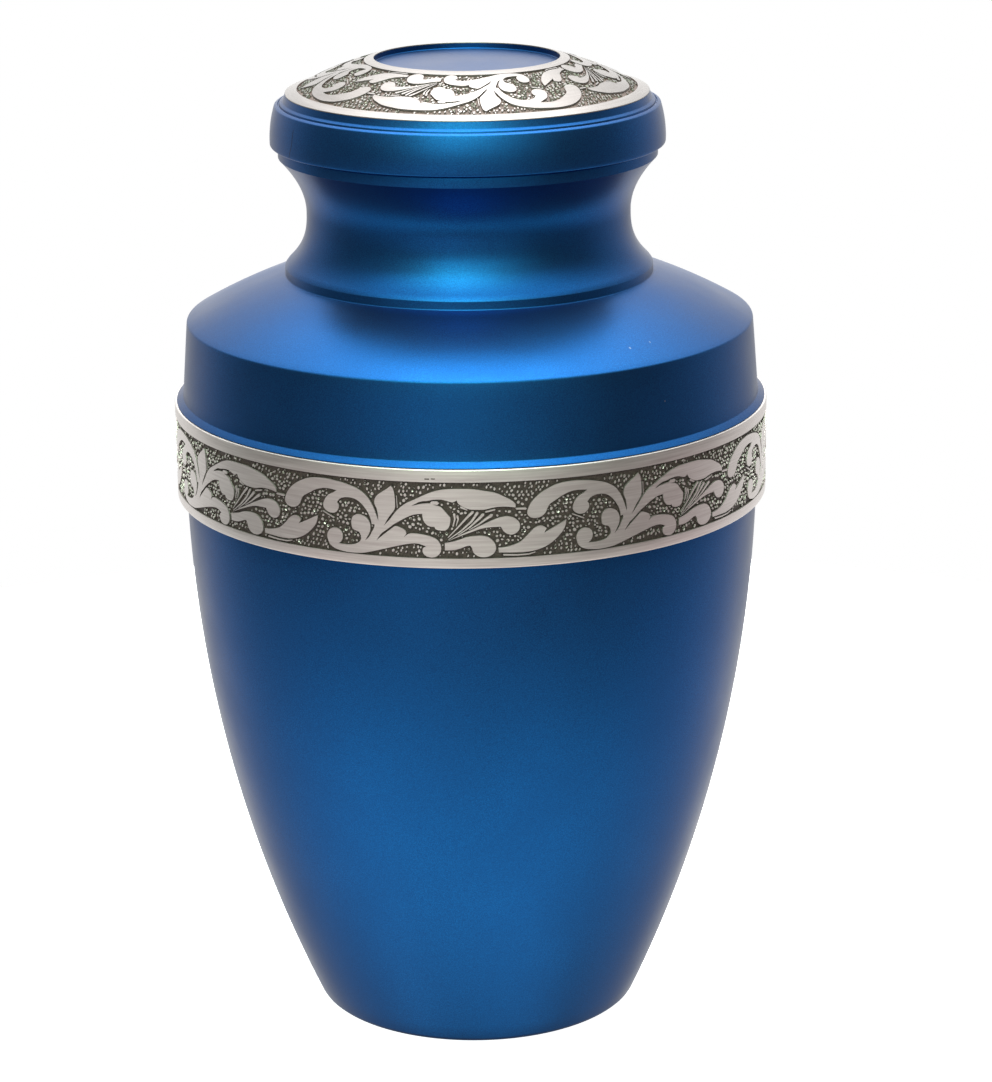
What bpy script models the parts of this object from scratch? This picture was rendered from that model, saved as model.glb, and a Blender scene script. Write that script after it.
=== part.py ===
"""Funeral urn: a hollow turned vessel with an engraved band and a lift-off engraved lid.

The axis is +Z and the underside stands at z = 0. Lengths are in metres.
"""

import math

import bmesh
import bpy
from mathutils import Vector
from mathutils.geometry import delaunay_2d_cdt

# Vessel, from the underside up
FOOT_RADIUS = 0.04396
FOOT_ROUND = 0.003
LOWER_WALL_HEIGHT = 0.1465
LOWER_WALL_BULGE = 0.0077
BAND_RADIUS = 0.08
BAND_STEP = 0.0025
BAND_LOWER_MARGIN = 0.0027
BAND_UPPER_MARGIN = 0.0033
LEDGE_WIDTH = 0.0023
LEDGE_RISE = 0.00135
UPPER_WALL_HEIGHT = 0.02015
UPPER_WALL_TAPER = 0.0016
SHOULDER_EDGE_ROUND = 0.0008
SHOULDER_RISE = 0.0122
SHOULDER_BULGE = 0.00072
RISER_RADIUS = 0.0493
RISER_HEIGHT = 0.0025
WAIST_RADIUS = 0.04326
LOWER_NECK_HEIGHT = 0.0142
LOWER_NECK_FLARE = 2.68
UPPER_NECK_HEIGHT = 0.015
UPPER_NECK_FLARE = 1.96
COLLAR_RADIUS = 0.0505
COLLAR_HEIGHT = 0.0029

# Inside of the vessel
WALL = 0.002
BASE_THICKNESS = 0.003
MOUTH_WALL = 0.004
MOUTH_DEPTH = 0.0052

# Lid, from its rim inwards and up
SEAT_GAP = 0.0003
RIM_OVERHANG = 0.00205
RIM_HEIGHT = 0.01035
RIM_TAPER = 0.00135
RIM_BULGE = 0.00045
RIM_ROUND = 0.0005
RIM_LEDGE_WIDTH = 0.0023
RIM_LEDGE_RISE = 0.00125
DRUM_TAPER = 0.0006
DRUM_HEIGHT = 0.002
DRUM_ROUND = 0.0004
DOME_MARGIN_WIDTH = 0.0032
DOME_MARGIN_RISE = 0.001
DOME_SCROLL_WIDTH = 0.0179
DOME_INNER_MARGIN = 0.0026
DOME_RISE = 0.00795
DOME_BULGE = 0.00073
RECESS_DEPTH = 0.00175
LID_WALL = 0.002
SPIGOT_CLEARANCE = 0.0005
SPIGOT_WALL = 0.002
SPIGOT_DEPTH = 0.0045

# Engraving: flush leaves on a lowered ground, laid out by hand around the band
SCROLL_HEIGHT = 0.0199
SCROLL_DEPTH = 0.0006
BAND_REPEATS = 8
BAND_EDGES_PER_REPEAT = 6
BAND_FIRST_BUD = math.radians(-14.0)
BAND_DRIFT = math.radians(2.0)
BAND_DRIFT_PHASE = math.radians(8.0)
LID_REPEATS = 4
LID_EDGES_PER_REPEAT = 10
LID_FIRST_BUD = math.radians(6.1)

# One repeat of the scroll. A leaf is a row of (along, up, half width) with a blunt or a pointed end.
# Along is in hundredths of the repeat from the bud's tip, the others in hundredths of the scroll's height.
BUD = [(-4.5, 41.9, 5.2), (-2.0, 66.6, 13.4), (0.0, 93.4, 0.0)]
ARCH = [(-7.5, 28.0, 6.2), (-9.2, 67.0, 7.6), (-19.0, 87.0, 6.4), (-36.5, 83.5, 8.4), (-43.5, 60.8, 10.3)]
INNER_CURL = [(-13.0, 77.0, 5.0), (-21.0, 76.0, 7.0), (-25.1, 61.4, 9.9)]
HANGING_LOBE = [(-9.6, 18.0, 3.2), (-13.2, 41.9, 10.3)]
LOWER_CURL = [(-3.9, 21.2, 8.2), (-9.5, 9.6, 6.2), (-20.0, 7.4, 5.8), (-23.8, 20.2, 10.7)]
LONG_LEAF = [(-3.2, 33.6, 4.1), (6.5, 66.0, 5.0), (16.7, 84.0, 5.4), (32.0, 79.5, 12.4), (48.6, 67.6, 0.0)]
CLUB_LEAF = [(-4.5, 25.4, 4.5), (3.5, 53.0, 6.6), (11.5, 62.5, 8.6), (18.3, 53.2, 16.5)]
HOOK_LEAF = [(-7.0, 15.1, 6.2), (1.0, 24.5, 8.6), (11.0, 25.0, 6.6), (15.8, 11.6, 9.8)]
RISING_LEAF = [(21.8, 22.5, 1.5), (36.5, 42.0, 4.5), (46.2, 42.9, 11.0)]
LOW_LEAF = [(20.0, 15.5, 5.0), (29.5, 22.6, 7.6), (36.1, 17.5, 14.0)]
MITTEN = [(41.0, 9.5, 2.1), (54.1, 18.1, 8.7), (60.5, 29.0, 10.4), (68.4, 43.5, 0.0)]
LEAVES = [
    BUD,
    ARCH,
    INNER_CURL,
    HANGING_LOBE,
    LOWER_CURL,
    LONG_LEAF,
    CLUB_LEAF,
    HOOK_LEAF,
    RISING_LEAF,
    LOW_LEAF,
    MITTEN,
]
CLUB_STEPS = 3

# Heights of the tiers
band_foot = LOWER_WALL_HEIGHT
scroll_foot = band_foot + BAND_LOWER_MARGIN
scroll_top = scroll_foot + SCROLL_HEIGHT
band_top = scroll_top + BAND_UPPER_MARGIN
upper_wall_foot = band_top + LEDGE_RISE
shoulder_edge = upper_wall_foot + UPPER_WALL_HEIGHT
riser_foot = shoulder_edge + SHOULDER_RISE
neck_foot = riser_foot + RISER_HEIGHT
waist = neck_foot + LOWER_NECK_HEIGHT
collar_foot = waist + UPPER_NECK_HEIGHT
collar_top = collar_foot + COLLAR_HEIGHT
lid_foot = collar_top + SEAT_GAP
rim_top = lid_foot + RIM_HEIGHT
drum_foot = rim_top + RIM_LEDGE_RISE
drum_top = drum_foot + DRUM_HEIGHT
dome_foot = drum_top + DOME_MARGIN_RISE
dome_top = dome_foot + DOME_RISE
recess_floor = dome_top - RECESS_DEPTH

# Radii that follow from the sizes above
wall_top_radius = BAND_RADIUS - BAND_STEP
upper_wall_radius = BAND_RADIUS - LEDGE_WIDTH
shoulder_radius = upper_wall_radius - UPPER_WALL_TAPER
mouth_radius = COLLAR_RADIUS - MOUTH_WALL
rim_radius = COLLAR_RADIUS + RIM_OVERHANG
rim_top_radius = rim_radius - RIM_TAPER
drum_radius = rim_top_radius - RIM_LEDGE_WIDTH
drum_top_radius = drum_radius - DRUM_TAPER
dome_radius = drum_top_radius - DOME_MARGIN_WIDTH
dome_inner_radius = dome_radius - DOME_SCROLL_WIDTH
recess_radius = dome_inner_radius - DOME_INNER_MARGIN
spigot_radius = mouth_radius - SPIGOT_CLEARANCE
spigot_bore = spigot_radius - SPIGOT_WALL


def arc_between(start, end, bulge):
    """The centre and radius of the arc that stands out by bulge on the right of the way from start to end."""
    chord = Vector(end) - Vector(start)
    outward = Vector((chord.y, -chord.x)).normalized()
    radius = (chord.length_squared / 4 + bulge**2) / (2 * bulge)
    return (Vector(start) + Vector(end)) / 2 - outward * (radius - bulge), radius


def bulged(start, end, bulge, steps):
    """Points along that arc."""
    centre, radius = arc_between(start, end, bulge)
    first = Vector(start) - centre
    turn = -first.angle_signed(Vector(end) - centre)
    points = []
    for i in range(steps + 1):
        angle = math.atan2(first.y, first.x) + turn * i / steps
        points.append((centre.x + radius * math.cos(angle), centre.y + radius * math.sin(angle)))
    return points


def rounded(before, corner, after, radius, steps):
    """The points of a round of this radius in place of a corner."""
    back = (Vector(before) - Vector(corner)).normalized()
    ahead = (Vector(after) - Vector(corner)).normalized()
    half = back.angle(ahead) / 2
    centre = Vector(corner) + (back + ahead).normalized() * radius / math.sin(half)
    first = Vector(corner) + back * radius / math.tan(half) - centre
    last = Vector(corner) + ahead * radius / math.tan(half) - centre
    turn = -first.angle_signed(last)
    points = []
    for i in range(steps + 1):
        angle = math.atan2(first.y, first.x) + turn * i / steps
        points.append((centre.x + radius * math.cos(angle), centre.y + radius * math.sin(angle)))
    return points


def inset(points, distance):
    """A line of points moved to the left of its way by a distance, with mitred corners."""
    ways = [(Vector(b) - Vector(a)).normalized() for a, b in zip(points, points[1:])]
    ways = [ways[0]] + ways + [ways[-1]]
    moved = []
    for point, before, after in zip(points, ways, ways[1:]):
        side = (Vector((-before.y, before.x)) + Vector((-after.y, after.x))).normalized()
        reach = distance / side.dot(Vector((-before.y, before.x)))
        moved.append((point[0] + side.x * reach, point[1] + side.y * reach))
    return moved


def neck_radius(z):
    """Radius of the neck's outside, which flares both ways from its waist."""
    if z < waist:
        share = (waist - z) / LOWER_NECK_HEIGHT
        return WAIST_RADIUS + (RISER_RADIUS - WAIST_RADIUS) * share**LOWER_NECK_FLARE
    share = (z - waist) / UPPER_NECK_HEIGHT
    return WAIST_RADIUS + (COLLAR_RADIUS - WAIST_RADIUS) * share**UPPER_NECK_FLARE


def spread(low, high, shares):
    """Heights at these shares of the way from low to high."""
    return [low + (high - low) * share for share in shares]


def vessel_outside():
    """The vessel's outline below and above the engraving, each from the bottom up."""
    wall = bulged((FOOT_RADIUS, 0.0), (wall_top_radius, band_foot), LOWER_WALL_BULGE, 6)
    ground = BAND_RADIUS - SCROLL_DEPTH
    below = [(0.0, 0.0)]
    below += rounded((0.0, 0.0), wall[0], wall[1], FOOT_ROUND, 2)
    below += wall[1:]
    below += [(BAND_RADIUS, band_foot), (BAND_RADIUS, scroll_foot), (ground, scroll_foot)]
    ledge = (upper_wall_radius, upper_wall_foot)
    shoulder = (shoulder_radius, shoulder_edge)
    slope = bulged(shoulder, (RISER_RADIUS, riser_foot), SHOULDER_BULGE, 2)
    above = [(ground, scroll_top), (BAND_RADIUS, scroll_top), (BAND_RADIUS, band_top), ledge]
    above += rounded(ledge, shoulder, slope[1], SHOULDER_EDGE_ROUND, 1)
    above += slope[1:]
    above += [(RISER_RADIUS, neck_foot)]
    lower = spread(neck_foot, waist, (0.2, 0.45, 1.0))
    upper = spread(waist, collar_foot, (0.35, 0.7, 1.0))
    above += [(neck_radius(z), z) for z in lower + upper]
    above += [(COLLAR_RADIUS, collar_top)]
    return below, above


def vessel_inside():
    """The vessel's inside, from the mouth down to the middle of the floor."""
    foot, top = (FOOT_RADIUS, 0.0), (wall_top_radius, band_foot)
    centre, radius = arc_between(foot, top, LOWER_WALL_BULGE)
    bore_foot = collar_top - MOUTH_DEPTH
    guide = [(upper_wall_radius, upper_wall_foot), (shoulder_radius, shoulder_edge)]
    guide += [(RISER_RADIUS, riser_foot), (RISER_RADIUS, neck_foot)]
    guide += [(neck_radius(z), z) for z in spread(neck_foot, bore_foot, (0.3, 0.7))]
    points = [(mouth_radius, collar_top), (mouth_radius, bore_foot)]
    points += inset(guide, WALL)[::-1]
    for z in spread(BASE_THICKNESS, band_foot, (1.0, 0.66, 0.33, 0.0)):
        points.append((centre.x + math.sqrt((radius - WALL) ** 2 - (z - centre.y) ** 2), z))
    points.append((0.0, BASE_THICKNESS))
    return points


def dome_height(radius):
    """Height of the dome's arc at a radius."""
    centre, reach = arc_between((dome_radius, dome_foot), (recess_radius, dome_top), DOME_BULGE)
    return centre.y + math.sqrt(reach**2 - (radius - centre.x) ** 2)


def lid_outlines():
    """The lid's outline from the middle of its hollow out to the engraving, and from there to the recess."""
    rim = bulged((rim_radius, lid_foot), (rim_top_radius, rim_top), RIM_BULGE, 2)
    drum = (drum_radius, drum_foot)
    lip = (drum_top_radius, drum_top)
    edge = (dome_radius, dome_foot)
    hollow_top = recess_floor - LID_WALL
    outer = [(0.0, hollow_top), (recess_radius + LID_WALL, hollow_top)]
    outer += [(spigot_bore, dome_foot - LID_WALL), (spigot_bore, collar_top - SPIGOT_DEPTH)]
    outer += [(spigot_radius, collar_top - SPIGOT_DEPTH), (spigot_radius, lid_foot)]
    outer += rim[:-1]
    outer += rounded(rim[-2], rim[-1], drum, RIM_ROUND, 1)
    outer += [drum]
    outer += rounded(drum, lip, edge, DRUM_ROUND, 1)
    outer += [edge, (dome_radius, dome_foot - SCROLL_DEPTH)]
    inner_top = dome_height(dome_inner_radius)
    inner = [(dome_inner_radius, inner_top - SCROLL_DEPTH), (dome_inner_radius, inner_top)]
    inner += [(recess_radius, dome_top), (recess_radius, recess_floor), (0.0, recess_floor)]
    return outer, inner


def turn(bm, outline, steps):
    """Spins an outline of (radius, height) round the axis."""
    verts = [bm.verts.new((radius, 0.0, height)) for radius, height in outline]
    edges = [bm.edges.new(pair) for pair in zip(verts, verts[1:])]
    bmesh.ops.spin(
        bm,
        geom=verts + edges,
        axis=(0, 0, 1),
        cent=(0, 0, 0),
        angle=math.tau,
        steps=steps,
        use_merge=True,
    )


def leaf_outline(spine, along, up):
    """The outline of one leaf, anticlockwise: its two sides, and an arc round its end unless that is a point."""
    points = [Vector((u * along, v * up)) for u, v, _ in spine]
    halves = [half * up for _, _, half in spine]
    left, right = [], []
    for i, (point, half) in enumerate(zip(points, halves)):
        way = (points[min(i + 1, len(points) - 1)] - points[max(i - 1, 0)]).normalized()
        side = Vector((-way.y, way.x)) * half
        left.append(point + side)
        right.append(point - side)
    if halves[-1] == 0.0:
        return right[:-1] + [points[-1]] + left[-2::-1]
    first = math.atan2(*(right[-1] - points[-1]).yx)
    end = []
    for i in range(1, CLUB_STEPS):
        angle = first + math.pi * i / CLUB_STEPS
        end.append(points[-1] + Vector((math.cos(angle), math.sin(angle))) * halves[-1])
    return right + end + left[::-1]


def engrave(bm, radius, height, repeats, edges_per_repeat, first_bud, drift, place, lift):
    """Adds a ring of engraving, of this radius and height when it is laid flat in units of the engraving's depth.

    The ground is triangulated with the leaves' outlines in it, and then the leaves are lifted. place turns
    an angle from the back and a share of the height into a point of the ground.
    """
    steps = repeats * edges_per_repeat
    width = math.tau * radius
    along = width / repeats / 100
    up = height / 100
    border = [(width * i / steps, 0.0) for i in range(steps + 1)]
    border += [(x, height) for x, _ in reversed(border)]
    shapes = [[Vector(point) for point in border]]
    for k in range(-repeats // 2 - 1, repeats // 2 + 2):
        for leaf in LEAVES:
            shape = []
            for point in leaf_outline(leaf, along, up):
                angle = math.tau * (point.x / width + k / repeats) + first_bud
                angle += drift * math.sin(angle - BAND_DRIFT_PHASE)
                shape.append(Vector((width * (angle / math.tau + 0.5), point.y)))
            shapes.append(shape)
    points = [point for shape in shapes for point in shape]
    faces, start = [], 0
    for shape in shapes:
        faces.append(list(range(start, start + len(shape))))
        start += len(shape)
    flat, _, cells, _, _, owners = delaunay_2d_cdt(points, [], faces, 1, 1e-4, True)
    verts = [bm.verts.new(place(math.tau * point.x / width, point.y / height)) for point in flat]
    for cell, owner in zip(cells, owners):
        if 0 in owner:
            face = bm.faces.new([verts[i] for i in cell])
            face.material_index = len(owner) > 1
    bmesh.ops.delete(bm, geom=[vert for vert in verts if not vert.link_faces], context="VERTS")
    bmesh.ops.remove_doubles(bm, verts=[vert for vert in verts if vert.is_valid], dist=1e-6)
    leaves = [face for face in bm.faces if face.material_index]
    for item in bmesh.ops.extrude_face_region(bm, geom=leaves)["geom"]:
        if isinstance(item, bmesh.types.BMVert):
            item.co = lift(item.co)
    bmesh.ops.delete(bm, geom=leaves, context="FACES")


def on_band(angle, share):
    """A point on the band's lowered ground."""
    radius = BAND_RADIUS - SCROLL_DEPTH
    height = scroll_foot + SCROLL_HEIGHT * share
    return (-radius * math.sin(angle), radius * math.cos(angle), height)


def off_band(point):
    """A point of the band's ground brought out to its surface."""
    radius = math.hypot(point.x, point.y)
    scale = (radius + SCROLL_DEPTH) / radius
    return (point.x * scale, point.y * scale, point.z)


def on_dome(angle, share):
    """A point on the dome's lowered ground. The scroll runs the other way round, with its buds outwards."""
    radius = dome_inner_radius + DOME_SCROLL_WIDTH * share
    height = dome_height(radius) - SCROLL_DEPTH
    return (radius * math.sin(angle), radius * math.cos(angle), height)


def off_dome(point):
    """A point of the dome's ground brought up to its surface."""
    return (point.x, point.y, point.z + SCROLL_DEPTH)


def finish(bm, name, colour, roughness, metallic):
    """Closes the mesh, shades it and gives it its lacquer."""
    bmesh.ops.remove_doubles(bm, verts=bm.verts, dist=1e-6)
    bmesh.ops.recalc_face_normals(bm, faces=bm.faces)
    for face in bm.faces:
        face.material_index = 0
    mesh = bpy.data.meshes.new(name)
    bm.to_mesh(mesh)
    bm.free()
    mesh.shade_smooth()
    mesh.set_sharp_from_angle(angle=math.radians(30))
    material = bpy.data.materials.new(name)
    material.use_nodes = True
    shader = material.node_tree.nodes["Principled BSDF"]
    shader.inputs["Base Color"].default_value = (*colour, 1.0)
    shader.inputs["Roughness"].default_value = roughness
    shader.inputs["Metallic"].default_value = metallic
    mesh.materials.append(material)
    obj = bpy.data.objects.new(name, mesh)
    bpy.context.scene.collection.objects.link(obj)
    return obj


def build_vessel():
    steps = BAND_REPEATS * BAND_EDGES_PER_REPEAT
    below, above = vessel_outside()
    bm = bmesh.new()
    turn(bm, below, steps)
    turn(bm, above + vessel_inside(), steps)
    engrave(
        bm,
        BAND_RADIUS / SCROLL_DEPTH,
        SCROLL_HEIGHT / SCROLL_DEPTH,
        BAND_REPEATS,
        BAND_EDGES_PER_REPEAT,
        BAND_FIRST_BUD,
        BAND_DRIFT,
        on_band,
        off_band,
    )
    return finish(bm, "urn_body", (0.030, 0.165, 0.330), 0.32, 0.75)


def build_lid():
    steps = LID_REPEATS * LID_EDGES_PER_REPEAT
    outer, inner = lid_outlines()
    bm = bmesh.new()
    turn(bm, outer, steps)
    turn(bm, inner, steps)
    engrave(
        bm,
        (dome_radius + dome_inner_radius) / 2 / SCROLL_DEPTH,
        DOME_SCROLL_WIDTH / SCROLL_DEPTH,
        LID_REPEATS,
        LID_EDGES_PER_REPEAT,
        -LID_FIRST_BUD,
        0.0,
        on_dome,
        off_dome,
    )
    return finish(bm, "lid", (0.045, 0.215, 0.400), 0.34, 0.75)


for leftover in list(bpy.data.objects):
    bpy.data.objects.remove(leftover, do_unlink=True)
build_vessel()
build_lid()
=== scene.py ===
"""Funeral urn in blue lacquer with an engraved band and lid. Lengths are in millimetres until a mesh is made."""

import math

import bmesh
import bpy
import numpy as np
from mathutils import Matrix, Vector
from mathutils.geometry import delaunay_2d_cdt


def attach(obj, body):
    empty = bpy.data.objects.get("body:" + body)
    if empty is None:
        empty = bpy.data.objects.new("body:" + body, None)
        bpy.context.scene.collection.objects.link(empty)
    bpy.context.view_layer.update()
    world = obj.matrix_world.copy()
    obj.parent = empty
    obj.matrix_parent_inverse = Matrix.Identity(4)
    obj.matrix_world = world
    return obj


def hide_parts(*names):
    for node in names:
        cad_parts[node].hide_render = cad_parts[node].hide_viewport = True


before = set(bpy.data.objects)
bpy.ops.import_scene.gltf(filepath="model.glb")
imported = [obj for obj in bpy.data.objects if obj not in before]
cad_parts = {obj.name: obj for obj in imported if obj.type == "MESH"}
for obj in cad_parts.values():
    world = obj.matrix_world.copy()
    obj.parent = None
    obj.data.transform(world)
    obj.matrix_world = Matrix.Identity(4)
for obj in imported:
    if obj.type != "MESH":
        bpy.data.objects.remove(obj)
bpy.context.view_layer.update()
MM = 0.001

# Levels and radii of the turned shapes, as in the CAD
WALL = 2.0
FOOT = (43.96, 0.0)
WALL_TOP = (77.5, 146.5)
WALL_BULGE = 7.7
FLOOR = 3.0
BAND_RADIUS = 80.0
BAND_TOP = 172.33
SCROLL_FOOT, SCROLL_TOP = 149.2, 169.1
LEDGE_FOOT = (79.7, 172.4)
LEDGE_TOP = (77.7, 173.75)
SHOULDER_EDGE = (76.1, 193.9)
SHOULDER_BULGE = 0.72
RISER = 49.3
RISER_FOOT, NECK_FOOT, WAIST, COLLAR_FOOT, COLLAR_TOP = 206.1, 208.6, 222.8, 237.8, 240.7
WAIST_RADIUS = 43.26
COLLAR_RADIUS = 50.5
MOUTH_RADIUS = 46.5
LID_FOOT = 241.0
RIM_FOOT, RIM_TOP = (52.55, LID_FOOT), (51.2, 251.35)
CAP_EDGE = (48.3, 254.35)
DOME_FOOT = (45.1, 255.6)
DOME_TOP = (24.6, 263.55)
DOME_INNER = 27.2
DOME_BULGE = 0.73
RECESS_FLOOR = 261.8
ENGRAVING = 0.6

# The scroll as drawn on a sheet 1602 wide, with the bud's tip at x = 912, the lower border at y = 603 and
# the upper one at y = 118. Each outline is a ring of smooth runs that meet in corners.
SHEET_WIDTH, SHEET_BUD, SHEET_FOOT, SHEET_HEIGHT = 1602.0, 912.0, 603.0, 485.0
ACANTHUS = [
    [(556, 548), (578, 528), (586, 500), (578, 470), (555, 454), (527, 450), (497, 462), (478, 492), (478, 522),
     (492, 556), (525, 580), (580, 593), (640, 597), (720, 592), (780, 578), (860, 555), (950, 530), (1030, 512),
     (1085, 511), (1130, 527)],
    [(1130, 527), (1112, 537), (1108, 560), (1122, 583), (1150, 595), (1185, 594), (1215, 572), (1225, 540),
     (1216, 502), (1190, 475), (1150, 460), (1100, 450), (1050, 446), (1018, 452), (990, 474)],
    [(990, 474), (1008, 447), (1000, 428), (970, 413), (938, 405), (900, 432), (855, 468), (812, 505)],
    [(812, 505), (846, 458), (880, 432), (925, 396), (960, 374), (1010, 345), (1060, 325), (1110, 319)],
    [(1110, 319), (1112, 345), (1122, 372), (1145, 395), (1165, 400), (1185, 400)],
    [(1185, 400), (1190, 413), (1215, 422), (1250, 422), (1272, 405), (1283, 370), (1283, 340), (1266, 320)],
    [(1266, 320), (1250, 300), (1230, 277), (1205, 266), (1180, 262), (1160, 252), (1130, 253), (1100, 257),
     (1040, 272)],
    [(1040, 272), (1095, 243), (1140, 236), (1180, 228), (1230, 226), (1270, 236), (1300, 243), (1325, 230)],
    [(1325, 230), (1335, 252), (1360, 270), (1400, 287), (1450, 291), (1500, 290), (1560, 277), (1628, 275),
     (1690, 284)],
    [(1690, 284), (1688, 262), (1660, 235), (1620, 213), (1568, 188), (1500, 173), (1420, 161), (1330, 159),
     (1240, 163), (1170, 180), (1110, 206), (1060, 231), (1005, 258), (965, 289), (938, 317), (905, 361),
     (864, 406)],
    [(864, 406), (893, 355), (933, 300), (938, 270), (937, 230), (933, 196), (925, 165), (912, 150)],
    [(912, 150), (885, 172), (850, 195), (817, 222), (804, 250), (806, 275), (818, 300), (826, 335), (828, 379)],
    [(828, 379), (814, 340), (801, 305), (785, 272), (768, 245), (740, 214), (690, 184), (640, 167), (590, 155),
     (540, 148), (480, 142), (420, 143), (350, 153), (290, 176), (240, 205), (195, 245), (167, 290), (160, 325),
     (178, 350), (215, 358), (250, 350), (275, 328), (288, 300), (304, 275), (340, 253), (390, 225), (430, 210),
     (480, 202), (550, 208)],
    [(550, 208), (520, 228), (490, 243), (467, 270), (452, 305), (457, 330), (475, 347), (500, 356), (530, 354),
     (552, 338), (563, 312), (560, 295), (550, 284)],
    [(550, 284), (568, 262), (600, 248), (640, 245), (680, 253), (715, 275), (745, 308), (768, 345), (780, 380),
     (784, 404)],
    [(784, 404), (802, 402), (799, 425), (783, 454), (768, 482), (738, 512)],
    [(738, 512), (752, 487), (766, 462), (774, 435), (773, 405), (763, 380), (745, 361), (715, 349), (690, 347),
     (665, 358), (650, 380), (647, 410), (654, 442), (672, 452), (695, 458), (710, 480), (712, 502), (700, 522),
     (670, 540), (620, 549), (556, 548)],
]
RISING_LEAF = [
    [(1262, 492), (1340, 452), (1420, 416), (1500, 378), (1568, 350), (1608, 340), (1640, 338), (1680, 350),
     (1708, 375), (1716, 400), (1708, 430), (1685, 450), (1660, 455), (1635, 448), (1612, 430), (1597, 402)],
    [(1597, 402), (1560, 402), (1500, 406), (1450, 419), (1400, 437), (1340, 459), (1262, 492)],
]
LOW_LEAF = [
    [(1248, 503), (1320, 487), (1380, 466), (1430, 458), (1480, 457), (1520, 468), (1550, 495), (1565, 530),
     (1558, 562), (1530, 585), (1490, 594), (1450, 585), (1425, 562), (1417, 535)],
    [(1417, 535), (1405, 518), (1385, 520), (1340, 538), (1300, 547), (1248, 549)],
    [(1248, 549), (1248, 503)],
]
MITTEN = [
    [(1580, 537), (1628, 533), (1678, 520), (1718, 503), (1758, 468), (1798, 428), (1828, 411), (1858, 411),
     (1884, 428)],
    [(1884, 428), (1868, 457)],
    [(1868, 457), (1908, 437), (1958, 412), (2011, 385)],
    [(2011, 385), (2008, 412), (1993, 447), (1968, 477), (1928, 513), (1878, 543), (1818, 562), (1748, 571),
     (1678, 570), (1583, 566)],
    [(1583, 566), (1580, 537)],
]
LEAVES = [ACANTHUS, RISING_LEAF, LOW_LEAF, MITTEN]

# Thin tongues of metal in the ground: the way each runs, and its half width at either end
TONGUES = [
    ([(1268, 468), (1330, 403), (1385, 342), (1423, 305)], 2, 8),
    ([(1272, 480), (1350, 424), (1415, 365), (1452, 310)], 2, 8),
    ([(1330, 452), (1400, 404), (1450, 358), (1487, 322)], 2, 9),
    ([(1400, 418), (1460, 383), (1505, 350), (1540, 327)], 2, 9),
    ([(1308, 318), (1312, 350), (1300, 395)], 7, 3),
    ([(1328, 330), (1332, 352), (1320, 392)], 7, 2),
    ([(1613, 582), (1700, 587), (1770, 585), (1810, 575)], 5, 3),
    ([(450, 352), (485, 368), (526, 386)], 3, 4),
    ([(948, 212), (950, 250), (952, 288)], 2, 2),
    ([(1170, 249), (1205, 249)], 11, 11),
    ([(1350, 274), (1388, 292)], 6, 3),
    ([(1504, 305), (1560, 293)], 5, 4),
    ([(1694, 292), (1752, 294)], 5, 7),
]


def arc_between(start, end, bulge):
    """The centre and radius of the arc that stands out by bulge on the right of the way from start to end."""
    chord = Vector(end) - Vector(start)
    outward = Vector((chord.y, -chord.x)).normalized()
    radius = (chord.length_squared / 4 + bulge**2) / (2 * bulge)
    return (Vector(start) + Vector(end)) / 2 - outward * (radius - bulge), radius


def bulged(start, end, bulge, steps):
    """Points along that arc."""
    centre, radius = arc_between(start, end, bulge)
    first = Vector(start) - centre
    turn = -first.angle_signed(Vector(end) - centre)
    angles = [math.atan2(first.y, first.x) + turn * i / steps for i in range(steps + 1)]
    return [(centre.x + radius * math.cos(a), centre.y + radius * math.sin(a)) for a in angles]


def softened(points, rounds):
    """The points with a small arc in place of each corner that rounds gives a radius for."""
    out = []
    for i, point in enumerate(points):
        if i not in rounds:
            out.append(point)
            continue
        corner = Vector(point)
        back = (Vector(points[i - 1]) - corner).normalized()
        ahead = (Vector(points[i + 1]) - corner).normalized()
        half = back.angle(ahead) / 2
        centre = corner + (back + ahead).normalized() * rounds[i] / math.sin(half)
        first = corner + back * rounds[i] / math.tan(half) - centre
        turn = -first.angle_signed(corner + ahead * rounds[i] / math.tan(half) - centre)
        for step in range(5):
            angle = math.atan2(first.y, first.x) + turn * step / 4
            out.append((centre.x + rounds[i] * math.cos(angle), centre.y + rounds[i] * math.sin(angle)))
    return out


def inset(points, distance):
    """A line of points moved to the left of its way by a distance, with mitred corners."""
    ways = [(Vector(b) - Vector(a)).normalized() for a, b in zip(points, points[1:])]
    ways = [ways[0]] + ways + [ways[-1]]
    moved = []
    for point, before, after in zip(points, ways, ways[1:]):
        side = (Vector((-before.y, before.x)) + Vector((-after.y, after.x))).normalized()
        reach = distance / side.dot(Vector((-before.y, before.x)))
        moved.append((point[0] + side.x * reach, point[1] + side.y * reach))
    return moved


def neck_radius(z):
    if z < WAIST:
        return WAIST_RADIUS + (RISER - WAIST_RADIUS) * ((WAIST - z) / (WAIST - NECK_FOOT)) ** 2.68
    return WAIST_RADIUS + (COLLAR_RADIUS - WAIST_RADIUS) * ((z - WAIST) / (COLLAR_FOOT - WAIST)) ** 1.96


def dome_height(radius):
    centre, reach = arc_between(DOME_FOOT, DOME_TOP, DOME_BULGE)
    return centre.y + math.sqrt(reach**2 - (radius - centre.x) ** 2)


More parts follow.
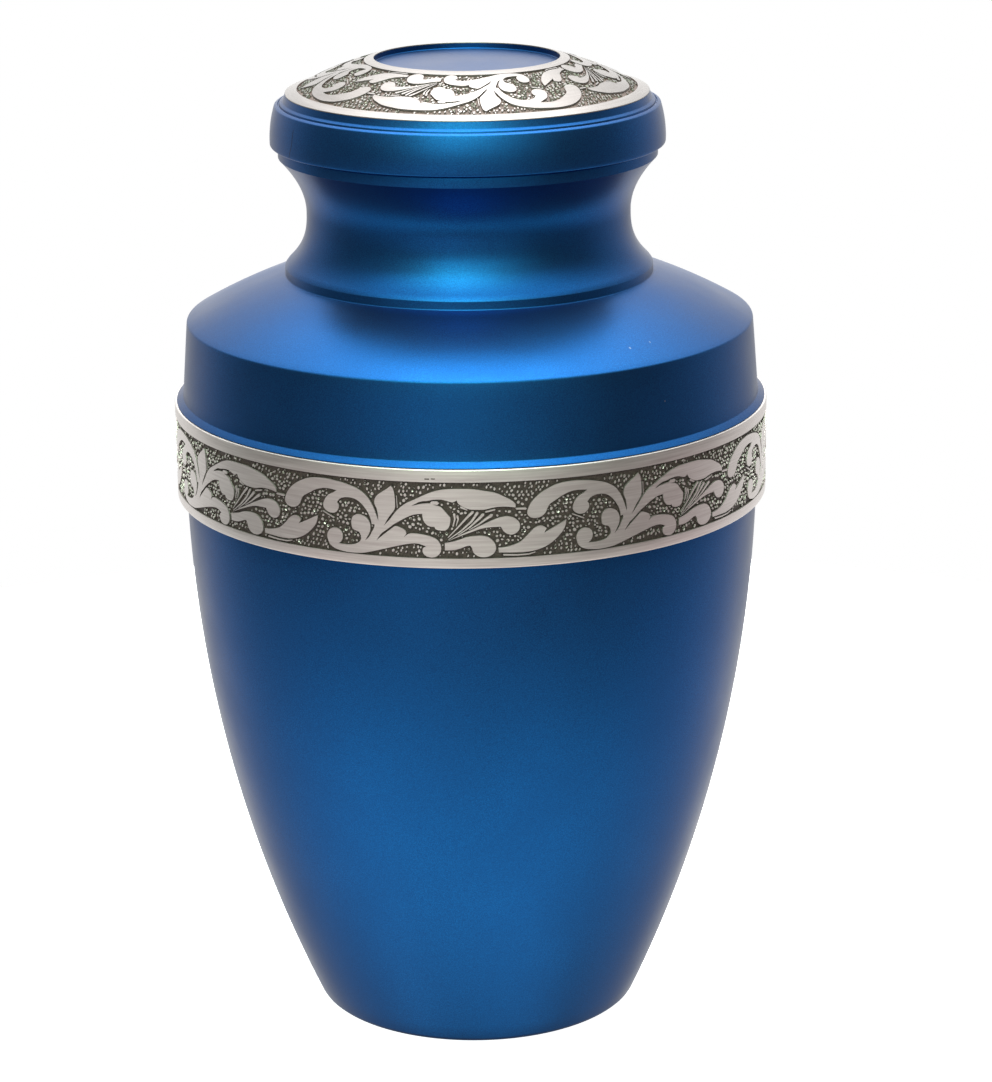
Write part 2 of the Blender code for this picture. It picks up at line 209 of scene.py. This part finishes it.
class Sheet:
    """A mesh in the making: points in millimetres, each with its place between the ground (0) and bare metal (1)."""

    def __init__(self):
        self.points, self.faces, self.relief = [], [], []

    def add(self, point, relief=1.0):
        self.points.append(point)
        self.relief.append(relief)
        return len(self.points) - 1

    def turn(self, profile, angles):
        """Spins a line of (radius, height) round the axis. Angle 0 faces the front and grows to the right."""
        rows = []
        for radius, height in profile:
            if radius == 0:
                rows.append([self.add((0.0, 0.0, height))] * len(angles))
            else:
                rows.append([self.add((radius * math.sin(a), -radius * math.cos(a), height)) for a in angles])
        for low, high in zip(rows, rows[1:]):
            for i in range(len(angles)):
                j = (i + 1) % len(angles)
                corners = [low[i], low[j], high[j], high[i]]
                self.faces.append([c for n, c in enumerate(corners) if c not in corners[:n]])

    def piece(self, name, node, material):
        mesh = bpy.data.meshes.new(name)
        mesh.from_pydata([(x * MM, y * MM, z * MM) for x, y, z in self.points], [], self.faces)
        layer = mesh.attributes.new("relief", "FLOAT", "POINT")
        layer.data.foreach_set("value", self.relief)
        bm = bmesh.new()
        bm.from_mesh(mesh)
        bmesh.ops.remove_doubles(bm, verts=bm.verts, dist=2e-6)
        bmesh.ops.recalc_face_normals(bm, faces=bm.faces)
        open_edges = sum(not edge.is_manifold for edge in bm.edges)
        bm.to_mesh(mesh)
        bm.free()
        mesh.shade_smooth()
        mesh.set_sharp_from_angle(angle=math.radians(35))
        mesh.materials.append(material)
        obj = bpy.data.objects.new(name, mesh)
        bpy.context.scene.collection.objects.link(obj)
        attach(obj, "root")
        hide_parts(node)
        triangles = sum(len(p.vertices) - 2 for p in mesh.polygons)
        print(name, len(mesh.vertices), "points", triangles, "triangles", open_edges, "open")


def drawn(runs, pitch):
    """The points of an outline, anticlockwise, in the sheet's units from the bud and the lower border, with y up."""
    ring = []
    for run in runs:
        points = [Vector((x - SHEET_BUD, SHEET_FOOT - y)) for x, y in run]
        guide = [2 * points[0] - points[1]] + points + [2 * points[-1] - points[-2]]
        for a, b, c, d in zip(guide, guide[1:], guide[2:], guide[3:]):
            steps = max(1, round((c - b).length / pitch))
            for i in range(steps):
                t = i / steps
                ring.append(
                    (2 * b + (c - a) * t + (2 * a - 5 * b + 4 * c - d) * t**2 + (3 * b - a - 3 * c + d) * t**3) / 2
                )
    area = sum(p.x * q.y - q.x * p.y for p, q in zip(ring, ring[1:] + ring[:1]))
    return ring if area > 0 else ring[::-1]


def tongue(way, first, last):
    """The outline of a thin tongue with round ends."""
    points = [Vector((x - SHEET_BUD, SHEET_FOOT - y)) for x, y in way]
    left, right = [], []
    for i, point in enumerate(points):
        ahead = (points[min(i + 1, len(points) - 1)] - points[max(i - 1, 0)]).normalized()
        half = first + (last - first) * i / (len(points) - 1)
        side = Vector((-ahead.y, ahead.x)) * half
        left.append(point + side)
        right.append(point - side)
        if i == 0:
            start = point - ahead * first
        end = point + ahead * last
    return [start] + right + [end] + left[::-1]


def inside(points, ring):
    """Which of the points lie in the ring, by counting crossings."""
    x, y = points[:, 0, None], points[:, 1, None]
    a, b = ring, np.roll(ring, -1, axis=0)
    spans = (a[:, 1] > y) != (b[:, 1] > y)
    rise = np.where(b[:, 1] == a[:, 1], 1.0, b[:, 1] - a[:, 1])
    reach = a[:, 0] + (y - a[:, 1]) / rise * (b[:, 0] - a[:, 0])
    return (spans & (x < reach)).sum(axis=1) % 2 == 1


def pebbles(rings, scale, width, height, repeats, pitch, spread, seed):
    """Centres of the ground's pebbles over the whole strip, clear of the leaves, with half lengths and a turn."""
    rng = np.random.RandomState(seed)
    columns, rows = int(width / pitch), int(height / (pitch * 0.87))
    grid = []
    for j in range(rows):
        for i in range(-4, columns + 4):
            grid.append(((i + 0.5 * (j % 2)) * width / columns, (j + 0.5) * height / rows))
    centres = np.array(grid) + rng.uniform(-0.34, 0.34, (len(grid), 2))
    sizes = rng.uniform(*spread, len(grid))
    slim = rng.uniform(0.6, 0.98, len(grid))
    turns = rng.uniform(0, math.pi, len(grid))
    repeat = width / repeats
    folded = centres.copy()
    folded[:, 0] = (folded[:, 0] / repeat + 0.5) % 1.0 * repeat - 0.5 * repeat
    keep = (centres[:, 1] > sizes + 0.12) & (centres[:, 1] < height - sizes - 0.12)
    for ring in rings:
        for shift in (-1, 0, 1):
            outline = np.array([(p.x * scale[0] + shift * repeat, p.y * scale[1]) for p in ring])
            if outline[:, 0].max() < -0.6 * repeat or outline[:, 0].min() > 0.6 * repeat:
                continue
            keep &= ~inside(folded, outline)
            a, b = outline, np.roll(outline, -1, axis=0)
            way = b - a
            for start in range(0, len(folded), 2000):
                part = folded[start : start + 2000]
                t = ((part[:, None] - a) * way).sum(-1) / np.maximum((way**2).sum(-1), 1e-9)
                near = a + np.clip(t, 0, 1)[..., None] * way
                gap = np.sqrt(((part[:, None] - near) ** 2).sum(-1)).min(axis=1)
                fits = np.clip(gap - 0.2 * pitch, 0, None)
                sizes[start : start + 2000] = np.minimum(sizes[start : start + 2000], fits)
    keep &= sizes > 0.17
    hatch = (folded[:, 1] < 0.16 * height) | (folded[:, 1] > 0.84 * height)
    turns = np.where(hatch, rng.normal(1.25, 0.25, len(grid)), turns)
    slim = np.where(hatch, slim * 0.75, slim)
    return [(centres[i], sizes[i], slim[i], turns[i]) for i in np.nonzero(keep)[0]]


def engraved(sheet, width, height, repeats, edges, warp, place, squeeze, pitch, spread, seed):
    """Adds the engraved strip to a sheet. edges is the border's steps in a repeat. warp moves a point along the
    strip as it was laid out by hand, place turns a flat point and a level into a point in space, and squeeze is
    how much a length along the strip grows when it is laid flat."""
    scale = (width / repeats / SHEET_WIDTH, height / SHEET_HEIGHT)
    rings = [drawn(leaf, 15) for leaf in LEAVES] + [tongue(*t) for t in TONGUES]
    steps = repeats * edges
    across = [width * i / steps for i in range(steps + 1)]
    border = [(x, 0.0) for x in across] + [(x, height) for x in reversed(across)]
    shapes, level = [border], []
    for k in range(-1, repeats + 2):
        for ring in rings:
            shapes.append([(warp(p.x * scale[0] + k * width / repeats), p.y * scale[1]) for p in ring])
    leaf_count = len(shapes)
    tops = {}
    for centre, size, slim, turn in pebbles(rings, scale, width, height, repeats, pitch, spread, seed):
        reach = size * squeeze(centre[1]) + 0.05
        if not reach < warp(centre[0]) < width - reach:
            continue
        for share, lift in ((1.0, 0.0), (0.76, 0.7)):
            ring = []
            for i in range(6):
                angle = math.tau * i / 6
                x = size * share * math.cos(angle)
                y = size * share * slim * math.sin(angle)
                ring.append(
                    (
                        warp(centre[0] + (x * math.cos(turn) - y * math.sin(turn)) * squeeze(centre[1])),
                        centre[1] + x * math.sin(turn) + y * math.cos(turn),
                    )
                )
            if lift:
                tops[len(shapes)] = lift
            shapes.append(ring)
    points, faces, lifts = [], [], []
    for n, shape in enumerate(shapes):
        faces.append(list(range(len(points), len(points) + len(shape))))
        points += [Vector(p) for p in shape]
        lifts += [tops.get(n, 0.0)] * len(shape)
    for j in range(1, 6):
        for i in range(2 - j % 2, steps, 2):
            points.append(Vector((across[i], height * j / 6)))
            lifts.append(None)
    flat, _, cells, origins, _, owners = delaunay_2d_cdt(points, [], faces, 1, 1e-5, True)
    leaf, ground = [], []
    for cell, owner in zip(cells, owners):
        if 0 in owner:
            on_leaf = any(0 < n < leaf_count for n in owner)
            (leaf if on_leaf else ground).append(cell)
    high, low = {}, {}

    def top(i):
        if i not in high:
            high[i] = sheet.add(place(flat[i].x, flat[i].y, 1.0), 1.0)
        return high[i]

    def bottom(i):
        if i not in low:
            given = [lifts[n] for n in origins[i] if lifts[n] is not None]
            lift = max(given, default=0.0)
            low[i] = sheet.add(place(flat[i].x, flat[i].y, lift), lift)
        return low[i]

    sides = {}
    for cell in ground:
        for a, b in zip(cell, cell[1:] + cell[:1]):
            sides[(a, b)] = True
        sheet.faces.append([bottom(i) for i in cell])
    ground_sides = dict(sides)
    for cell in leaf:
        sheet.faces.append([top(i) for i in cell])
        for a, b in zip(cell, cell[1:] + cell[:1]):
            sides[(a, b)] = True
            if (b, a) in ground_sides:
                sheet.faces.append([top(b), top(a), bottom(a), bottom(b)])
    for a, b in ground_sides:
        if (b, a) not in sides and (flat[a].y < 1e-6) == (flat[b].y < 1e-6) and abs(flat[a].x - flat[b].x) > 1e-6:
            sheet.faces.append([bottom(b), bottom(a), top(a), top(b)])


def wire(tree, *pairs):
    for source, target in pairs:
        tree.links.new(source, target)


def material(name):
    made = bpy.data.materials.new(name)
    made.use_nodes = True
    return made, made.node_tree, made.node_tree.nodes["Principled BSDF"]


def noise(tree, vector, scale, detail=2.0, rough=0.5):
    node = tree.nodes.new("ShaderNodeTexNoise")
    node.inputs["Scale"].default_value = scale
    node.inputs["Detail"].default_value = detail
    node.inputs["Roughness"].default_value = rough
    tree.links.new(vector, node.inputs["Vector"])
    return node.outputs["Fac"]


def maths(tree, operation, a, b=None, c=None):
    node = tree.nodes.new("ShaderNodeMath")
    node.operation = operation
    for socket, value in zip(node.inputs, (a, b, c)):
        if value is None:
            continue
        if isinstance(value, (int, float)):
            socket.default_value = value
        else:
            tree.links.new(value, socket)
    return node.outputs[0]


def blended(tree, share, first, second):
    """A colour mix. Either colour may be a socket or three numbers."""
    node = tree.nodes.new("ShaderNodeMix")
    node.data_type = "RGBA"
    tree.links.new(share, node.inputs["Factor"])
    for socket, value in ((node.inputs[6], first), (node.inputs[7], second)):
        if isinstance(value, tuple):
            socket.default_value = (*value, 1.0)
        else:
            tree.links.new(value, socket)
    return node.outputs[2]


def ranged(tree, value, low, high, to_low, to_high):
    node = tree.nodes.new("ShaderNodeMapRange")
    for socket, number in zip(node.inputs[1:5], (low, high, to_low, to_high)):
        socket.default_value = number
    tree.links.new(value, node.inputs[0])
    return node.outputs[0]


def parted(tree, vector):
    """The x, y and z of a vector."""
    node = tree.nodes.new("ShaderNodeSeparateXYZ")
    tree.links.new(vector, node.inputs[0])
    return node.outputs


def roughened(tree, shader, height, strength):
    node = tree.nodes.new("ShaderNodeBump")
    node.inputs["Strength"].default_value = strength
    node.inputs["Distance"].default_value = 0.00002
    wire(tree, (height, node.inputs["Height"]), (node.outputs[0], shader.inputs["Normal"]))


def times(colour, factor):
    return tuple(c * factor for c in colour)


def marked(tree, place, marks):
    """1 inside small marks on a turned face and 0 elsewhere. Each is degrees from the front, height and half height
    in mm, half width in degrees and a lean in degrees per mm."""
    x, y, z = parted(tree, place)
    around = maths(tree, "ARCTAN2", x, maths(tree, "MULTIPLY", y, -1.0))
    found = None
    for angle, height, half_height, half_width, lean in marks:
        rise = maths(tree, "SUBTRACT", z, height * MM)
        line = maths(tree, "MULTIPLY_ADD", rise, math.radians(lean) / MM, math.radians(angle))
        off = maths(tree, "ABSOLUTE", maths(tree, "SUBTRACT", around, line))
        level = maths(tree, "LESS_THAN", maths(tree, "ABSOLUTE", rise), half_height * MM)
        near = maths(tree, "MULTIPLY", maths(tree, "LESS_THAN", off, math.radians(half_width)), level)
        found = near if found is None else maths(tree, "MAXIMUM", found, near)
    return found


def lacquer():
    made, tree, shader = material("blue_lacquer")
    place = tree.nodes.new("ShaderNodeTexCoord").outputs["Object"]
    flakes = noise(tree, place, 3800.0, 2.0, 0.6)
    clouds = noise(tree, place, 45.0, 3.0, 0.5)
    tone = blended(tree, ranged(tree, flakes, 0.35, 0.68, 0.0, 1.0), (0.0012, 0.044, 0.165), (0.0026, 0.092, 0.285))
    tone = blended(tree, ranged(tree, clouds, 0.3, 0.7, 0.0, 0.35), tone, (0.0018, 0.062, 0.216))
    tone = blended(tree, marked(tree, place, HAIRLINE), tone, (0.001, 0.002, 0.006))
    tone = blended(tree, marked(tree, place, SPECKS), tone, (0.13, 0.18, 0.27))
    wire(tree, (tone, shader.inputs["Base Color"]))
    shader.inputs["Metallic"].default_value = 0.97
    wire(tree, (ranged(tree, clouds, 0.3, 0.7, 0.30, 0.37), shader.inputs["Roughness"]))
    shader.inputs["Coat Weight"].default_value = 0.16
    shader.inputs["Coat Roughness"].default_value = 0.6
    shader.inputs["Specular Tint"].default_value = (0.72, 0.66, 0.58, 1.0)
    roughened(tree, shader, flakes, 0.35)
    return made


def pewter(name, painted_shade, painted_ground_light, nicks):
    """Brushed metal with a dark patina in its ground. One factor darkens the metal as painted shade and the other
    lightens the patina as painted light: both are 1 for the band and are set for the upturned cap, which takes the
    bright light from above.
    """
    made, tree, shader = material(name)
    place = tree.nodes.new("ShaderNodeTexCoord").outputs["Object"]
    x, y, z = parted(tree, place)
    radius = maths(tree, "SQRT", maths(tree, "ADD", maths(tree, "MULTIPLY", x, x), maths(tree, "MULTIPLY", y, y)))
    across = tree.nodes.new("ShaderNodeCombineXYZ")
    for value, scale, socket in zip((x, y, maths(tree, "ADD", z, radius)), (70.0, 70.0, 2600.0), across.inputs):
        wire(tree, (maths(tree, "MULTIPLY", value, scale), socket))
    brushed = noise(tree, across.outputs[0], 1.0, 3.0, 0.6)
    specks = noise(tree, place, 2100.0, 3.0, 0.65)
    relief = tree.nodes.new("ShaderNodeAttribute")
    relief.attribute_name = "relief"
    bare = relief.outputs["Fac"]
    streaks = ranged(tree, brushed, 0.3, 0.7, 0.0, 1.0)
    # Painted shade: the metal's colour is darkened by the shade factor
    metal = blended(tree, streaks, times((0.53, 0.488, 0.46), painted_shade), times((0.66, 0.615, 0.592), painted_shade))
    grime = ranged(tree, specks, 0.35, 0.7, 0.0, 1.0)
    # Painted light: the patina's colour is lightened by its factor, on the cap's upturned ground
    dark = blended(tree, grime, times((0.018, 0.011, 0.010), painted_ground_light), times((0.075, 0.052, 0.045), painted_ground_light))
    shown = ranged(tree, bare, 0.25, 0.62, 0.0, 1.0)
    if nicks:
        shown = maths(tree, "MULTIPLY", shown, maths(tree, "SUBTRACT", 1.0, marked(tree, place, nicks)))
    wire(tree, (blended(tree, shown, dark, metal), shader.inputs["Base Color"]))
    wire(tree, (ranged(tree, shown, 0.0, 1.0, 0.25, 0.95), shader.inputs["Metallic"]))
    polish = maths(tree, "ADD", ranged(tree, brushed, 0.3, 0.7, 0.34, 0.42), ranged(tree, shown, 0.0, 1.0, 0.2, 0.0))
    wire(tree, (polish, shader.inputs["Roughness"]))
    roughened(tree, shader, brushed, 0.3)
    return made


# Small marks: a hairline down the lid's rim, small light specks in the lacquer and nicks in the band's upper border
HAIRLINE = [(-60.15, 246.9, 1.9, 0.12, 0.03), (-61.05, 243.1, 2.0, 0.12, 0.46)]
SPECKS = [(35.7, 197.5, 0.16, 0.16, 0.0), (41.7, 197.8, 0.14, 0.13, 0.0), (39.95, 184.1, 0.2, 0.14, 0.0)]
NICKS = [(-8.1, 169.92, 0.16, 0.42, 0.0), (-7.0, 170.0, 0.14, 0.36, 0.0)]
# The cap is the band's pewter with painted shade on its metal (0.41) and painted light in its patina (2.6), set for
# its upturned face under the bright light from above
blue, band_metal, cap_metal = lacquer(), pewter("band_metal", 1.0, 1.0, NICKS), pewter("cap_metal", 0.41, 2.6, [])
EVEN = [math.tau * i / 256 for i in range(256)]

# Vessel
foot = bulged(FOOT, WALL_TOP, WALL_BULGE, 48)
outside = softened([(0.0, 0.0), (30.0, 0.0), foot[0], foot[2]], {2: 3.0}) + foot[3:-1]
outside += [(77.4, 146.3), (77.4, 172.37)]
outside += softened([(78.5, 172.37), LEDGE_FOOT, LEDGE_TOP, (77.4, 177.0)], {1: 0.12, 2: 0.35})
shoulder = bulged(SHOULDER_EDGE, (RISER, RISER_FOOT), SHOULDER_BULGE, 14)
outside += softened([(76.5, 188.9), SHOULDER_EDGE, shoulder[1]], {1: 0.8})
riser = [(RISER, NECK_FOOT - 0.3), (neck_radius(NECK_FOOT + 0.6), NECK_FOOT + 0.6)]
outside += softened(shoulder[2:] + riser, {12: 0.35, 13: 0.3})
outside += [(neck_radius(z), z) for z in np.linspace(NECK_FOOT + 1.0, COLLAR_FOOT - 0.4, 44)]
collar = [(COLLAR_RADIUS, COLLAR_FOOT), (COLLAR_RADIUS, COLLAR_TOP), (MOUTH_RADIUS, COLLAR_TOP), (MOUTH_RADIUS, 235.5)]
outside += softened(collar, {1: 0.45, 2: 0.3})
guide = [LEDGE_TOP, SHOULDER_EDGE, (RISER, RISER_FOOT), (RISER, NECK_FOOT)]
guide += [(neck_radius(z), z) for z in (213.0, 218.0, 222.8, 228.0)]
outside += [(neck_radius(233.0) - 2.2, 233.0)] + inset(guide, WALL)[::-1]
centre, reach = arc_between(FOOT, WALL_TOP, WALL_BULGE)
for z in np.linspace(WALL_TOP[1], FLOOR, 16):
    outside.append((centre.x + math.sqrt((reach - WALL) ** 2 - (z - centre.y) ** 2), float(z)))
outside += [(0.0, FLOOR)]
vessel = Sheet()
vessel.turn(outside, EVEN)
vessel.piece("vessel_lacquer", "urn_body", blue)

# Band round the vessel
BAND_WIDTH = math.tau * BAND_RADIUS
BAND_HEIGHT = SCROLL_TOP - SCROLL_FOOT


def band_angle(x):
    return math.tau * x / BAND_WIDTH - math.pi + math.radians(-14.0)


def band_warp(x):
    return x + BAND_RADIUS * math.radians(2.0) * math.sin(band_angle(x) - math.radians(8.0))


def on_band(x, y, level):
    radius = BAND_RADIUS - ENGRAVING * (1.0 - level)
    angle = band_angle(x)
    return (radius * math.sin(angle), -radius * math.cos(angle), SCROLL_FOOT + y)


band = Sheet()
engraved(band, BAND_WIDTH, BAND_HEIGHT, 8, 48, band_warp, on_band, lambda y: 1.0, 1.16, (0.34, 0.6), 5)
hoop = [(BAND_RADIUS, SCROLL_FOOT), (BAND_RADIUS, WALL_TOP[1]), WALL_TOP, (WALL_TOP[0], BAND_TOP),
        (BAND_RADIUS, BAND_TOP), (BAND_RADIUS, SCROLL_TOP)]
band.turn(softened(hoop, {1: 0.4, 4: 0.35}), [band_angle(BAND_WIDTH * i / 384) for i in range(384)])
band.piece("band_scrollwork", "urn_body", band_metal)

# Lid
rim = bulged(RIM_FOOT, RIM_TOP, 0.45, 10)
under = [(0.0, 259.8), (26.6, 259.8), (44.0, 253.6), (44.0, 236.2), (46.0, 236.2), (46.0, LID_FOOT)]
under += softened([(50.0, LID_FOOT), rim[0], rim[1]], {1: 0.4})
ledge = [rim[-2], rim[-1], (50.3, 251.8), (50.1, 251.5), (49.85, 251.6), (49.75, 252.12), (48.9, 252.6), CAP_EDGE,
         (47.0, CAP_EDGE[1])]
under += rim[2:-1] + softened(ledge, {1: 0.4, 2: 0.08, 3: 0.08, 4: 0.08, 5: 0.18, 6: 0.35})[1:]
under += [(45.0, 254.4)]
under += [(r, dome_height(r) - 1.25) for r in np.linspace(43.0, 26.0, 8)]
under += [(24.9, 262.0), (24.9, 263.2), (24.6, 263.2), (24.6, 262.0), (24.4, RECESS_FLOOR), (0.0, RECESS_FLOOR)]
cover = Sheet()
cover.turn(under, EVEN)
cover.piece("lid_lacquer", "lid", blue)

# Engraved cap of the lid, whose scroll runs the other way round with its buds outwards
LID_WIDTH = math.tau * (DOME_FOOT[0] + DOME_INNER) / 2
LID_HEIGHT = DOME_FOOT[0] - DOME_INNER


def lid_angle(x):
    return math.pi + math.radians(6.1) - math.tau * x / LID_WIDTH


def on_lid(x, y, level):
    radius = DOME_INNER + y
    angle = lid_angle(x)
    return (radius * math.sin(angle), -radius * math.cos(angle), dome_height(radius) - ENGRAVING * (1.0 - level))


cap = Sheet()
engraved(cap, LID_WIDTH, LID_HEIGHT, 4, 96, lambda x: x, on_lid,
         lambda y: LID_WIDTH / math.tau / (DOME_INNER + y), 1.0, (0.42, 0.66), 11)
plate = softened([DOME_FOOT, (48.3, 254.6), (48.25, 254.4), (45.0, 254.42)], {1: 0.15})
plate += [(r, dome_height(r) - 1.2) for r in np.linspace(43.0, 26.0, 8)]
plate += softened([(24.65, 262.4), DOME_TOP, (DOME_INNER, dome_height(DOME_INNER))], {1: 0.15})
cap.turn(plate, [lid_angle(LID_WIDTH * i / 384) for i in range(384)])
cap.piece("lid_scrollwork", "lid", cap_metal)

# Floor
bpy.ops.mesh.primitive_circle_add(vertices=96, radius=0.42, fill_type="NGON", location=(0, 0, -0.0002))
floor = bpy.context.object
floor.name = "floor"
pale, tree, shader = material("pale_floor")
shader.inputs["Base Color"].default_value = (0.8, 0.8, 0.8, 1.0)
shader.inputs["Roughness"].default_value = 0.9
shader.inputs["Emission Color"].default_value = (1, 1, 1, 1)
shader.inputs["Emission Strength"].default_value = 1.0
floor.data.materials.append(pale)
floor.visible_glossy = False
floor.visible_diffuse = False

# Camera
camera = bpy.data.objects.new("camera", bpy.data.cameras.new("camera"))
bpy.context.scene.collection.objects.link(camera)
pitch, roll, yaw = math.radians(16.668), math.radians(-0.557), math.radians(0.400)
right = Vector((math.cos(yaw), -math.sin(yaw), 0.0))
ahead = Vector((math.sin(yaw), math.cos(yaw), 0.0))
look = ahead * math.cos(pitch) - Vector((0, 0, math.sin(pitch)))
up = ahead * math.sin(pitch) + Vector((0, 0, math.cos(pitch)))
side = right * math.cos(roll) + up * math.sin(roll)
top = up * math.cos(roll) - right * math.sin(roll)
camera.matrix_world = Matrix.Translation((0.0, -0.92273, 0.40614)) @ Matrix(
    (side, top, -look)
).transposed().to_4x4()
camera.data.lens = 3505.57 / 1082 * 36.0
camera.data.clip_start = 0.05
bpy.context.scene.camera = camera
bpy.context.scene.view_settings.view_transform = "Standard"

# Light: a soft studio. Each elevation has a tint and strengths at the azimuths from the front. The tint keeps to
# the front half, and above the horizon to the front lamps.
AZIMUTHS = (-178, -140, -100, -62, -34, -14, 4, 24, 52, 90, 140, 178)
STUDIO = {
    -80: ((1.02, 1.0, 0.95), (0.3,) * 12),
    -58: ((1.03, 0.98, 0.93), (0.3, 0.3, 0.6, 1.8, 1.7, 2.0, 2.2, 2.2, 1.9, 0.6, 0.3, 0.3)),
    -40: ((1.03, 0.99, 0.95), (0.8, 0.8, 1.5, 2.0, 1.9, 1.6, 1.3, 1.6, 1.5, 1.5, 0.8, 0.8)),
    -25: ((1.2, 0.92, 1.0), (1.6, 1.6, 0.7, 0.4, 0.1, 0.1, 0.1, 0.1, 0.1, 0.7, 1.6, 1.6)),
    -12: ((1.07, 0.94, 1.02), (1.0, 1.0, 0.1, 0.3, 1.0, 1.4, 0.9, 0.7, 0.2, 0.1, 1.0, 1.0)),
    2: ((1.2, 0.94, 1.0), (1.9, 1.2, 0.3, 0.05, 0.05, 0.15, 0.05, 0.05, 0.05, 0.3, 1.2, 1.9)),
    16: ((0.95, 1.22, 0.97), (1.9, 1.0, 0.1, 0.4, 1.0, 3.6, 2.8, 1.7, 0.1, 0.1, 1.0, 1.9)),
    32: ((0.92, 1.4, 0.95), (2.4, 1.4, 0.3, 0.1, 0.4, 3.4, 3.0, 0.4, 0.1, 0.3, 1.4, 2.4)),
    50: ((0.94, 1.3, 0.96), (8.0, 2.0, 1.0, 2.2, 4.4, 7.5, 7.5, 3.0, 1.8, 1.3, 2.2, 8.0)),
    70: ((0.99, 1.06, 0.99), (12.0, 4.6, 2.4, 2.4, 3.4, 4.4, 4.4, 3.4, 2.8, 2.8, 5.0, 12.0)),
    90: ((1.0, 1.0, 1.0), (9.5,) * 12),
}
STRONGEST = 16.0
WHITE = (1.0, 1.0, 1.0)
world = bpy.data.worlds.new("studio")
bpy.context.scene.world = world
world.use_nodes = True
tree = world.node_tree
back = tree.nodes["Background"]
x, y, z = parted(tree, tree.nodes.new("ShaderNodeTexCoord").outputs["Generated"])
azimuth = maths(tree, "ARCTAN2", x, maths(tree, "MULTIPLY", y, -1.0))
height = maths(tree, "ARCSINE", z)
share = ranged(tree, azimuth, -math.pi, math.pi, 0.0, 1.0)
levels = sorted(STUDIO)
total = None
for i, level in enumerate(levels):
    ramp = tree.nodes.new("ShaderNodeValToRGB")
    wire(tree, (share, ramp.inputs[0]))
    tint, strengths = STUDIO[level]
    tinted = 95 if level < 10 else 40
    stops = ramp.color_ramp.elements
    places = [a / 360 + 0.5 for a in AZIMUTHS]
    stops[0].position, stops[1].position = places[0], places[-1]
    for position in places[1:-1]:
        stops.new(position)
    for stop, angle, strength in zip(stops, AZIMUTHS, strengths):
        stop.color = (*times(tint if abs(angle) < tinted else WHITE, strength / STRONGEST), 1.0)
    below = levels[i - 1] if i else -90
    above = levels[i + 1] if i + 1 < len(levels) else 90
    rising = ranged(tree, height, math.radians(below), math.radians(level), float(i == 0), 1.0)
    falling = 1.0 if level == 90 else ranged(tree, height, math.radians(level), math.radians(above), 1.0, 0.0)
    reach = maths(tree, "MULTIPLY", maths(tree, "MINIMUM", rising, falling), STRONGEST)
    glow = tree.nodes.new("ShaderNodeVectorMath")
    glow.operation = "SCALE"
    wire(tree, (ramp.outputs[0], glow.inputs[0]), (reach, glow.inputs["Scale"]))
    if total is None:
        total = glow.outputs[0]
        continue
    summed = tree.nodes.new("ShaderNodeVectorMath")
    wire(tree, (total, summed.inputs[0]), (glow.outputs[0], summed.inputs[1]))
    total = summed.outputs[0]
seen = tree.nodes.new("ShaderNodeLightPath").outputs["Is Camera Ray"]
wire(tree, (blended(tree, seen, total, WHITE), back.inputs["Color"]))
